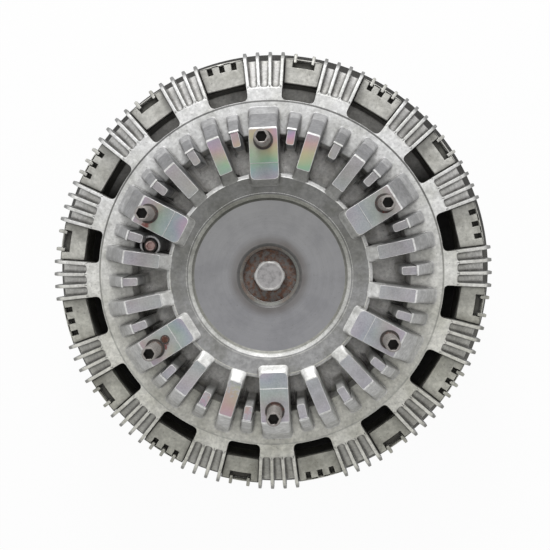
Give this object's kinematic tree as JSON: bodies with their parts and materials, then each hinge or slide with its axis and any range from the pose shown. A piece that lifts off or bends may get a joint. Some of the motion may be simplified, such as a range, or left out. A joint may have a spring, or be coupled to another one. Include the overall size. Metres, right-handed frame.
{
  "type": "air operated fan clutch",
  "caption": "Two-speed air operated fan clutch: finned cast disc with fan studs, rear ring, eddy ring over magnets, belt sheave, air piston and journal bracket.",
  "frame": {"origin": "centre of the bounding box at the underside of the bracket's foot, on the shaft's axis", "axes": "+Z along the shaft's axis from the bracket's foot towards the fan; +Y towards the first fan stud"},
  "size_m": [0.314, 0.314, 0.2096],
  "materials": {
    "cast_aluminium": "as cast, satin, machined on its faces",
    "dark_iron": "dark coated casting",
    "machined_steel": "turned and ground",
    "zinc_steel": "zinc plated",
    "browned_steel": "browned, with light rust",
    "black_rubber": "matte",
    "friction_lining": "pressed fibre composite",
    "brass": "turned",
    "magnet_faces": "nickel plated"
  },
  "bodies": {
    "bracket": {"journal_bracket": "dark_iron", "air_fitting": "brass", "rear_bearing_inner_race": "machined_steel", "front_bearing_inner_race": "machined_steel", "bearing_spacer": "machined_steel", "lock_washer": "zinc_steel", "lock_nut": "machined_steel", "air_seal": "brass"},
    "sheave": {"sheave": "dark_iron", "magnet_ring": "magnet_faces", "rear_bearing_outer_race": "machined_steel", "front_bearing_outer_race": "machined_steel", "bearing_circlip": "machined_steel", "dust_seal": "black_rubber", "stub_shaft": "machined_steel", "shaft_screw_1": "machined_steel", "shaft_screw_2": "machined_steel", "shaft_screw_3": "machined_steel", "shaft_screw_4": "machined_steel", "shaft_screw_5": "machined_steel", "shaft_screw_6": "machined_steel", "drive_pin_1": "machined_steel", "drive_pin_2": "machined_steel", "drive_pin_3": "machined_steel", "air_chamber_cap": "cast_aluminium", "cap_seal": "black_rubber", "fan_spacer": "machined_steel", "fan_bearing_inner_race": "machined_steel", "clamp_washer": "browned_steel", "centre_bolt": "zinc_steel", "piston_spring": "machined_steel"},
    "piston": {"piston": "cast_aluminium", "friction_liner": "friction_lining", "shaft_seal": "black_rubber"},
    "fan": {"fan_disc": "cast_aluminium", "rear_ring": "cast_aluminium", "eddy_ring": "dark_iron", "eddy_screw_1": "machined_steel", "eddy_screw_2": "machined_steel", "eddy_screw_3": "machined_steel", "eddy_screw_4": "machined_steel", "fan_stud_1": "browned_steel", "fan_stud_2": "browned_steel", "fan_stud_3": "browned_steel", "fan_stud_4": "browned_steel", "fan_stud_5": "browned_steel", "fan_stud_6": "browned_steel", "fan_bearing_outer_race": "machined_steel", "locating_dowel": "browned_steel", "lock_up_screw": "zinc_steel"}
  },
  "joints": [
    {"name": "sheave_spin", "type": "hinge", "parent": "bracket", "child": "sheave", "pos_m": [0, 0, 0.0453], "axis": [0, 0, 1], "continuous": true},
    {"name": "piston_slide", "type": "slide", "parent": "sheave", "child": "piston", "axis": [0, 0, 1], "range_m": [-0.0025, 0], "stiffness_N_per_m": 20000, "springref_m": 0.02, "deforming": ["piston_spring"]},
    {"name": "fan_spin", "type": "hinge", "parent": "sheave", "child": "fan", "pos_m": [0, 0, 0.1553], "axis": [0, 0, 1], "continuous": true}
  ]
}
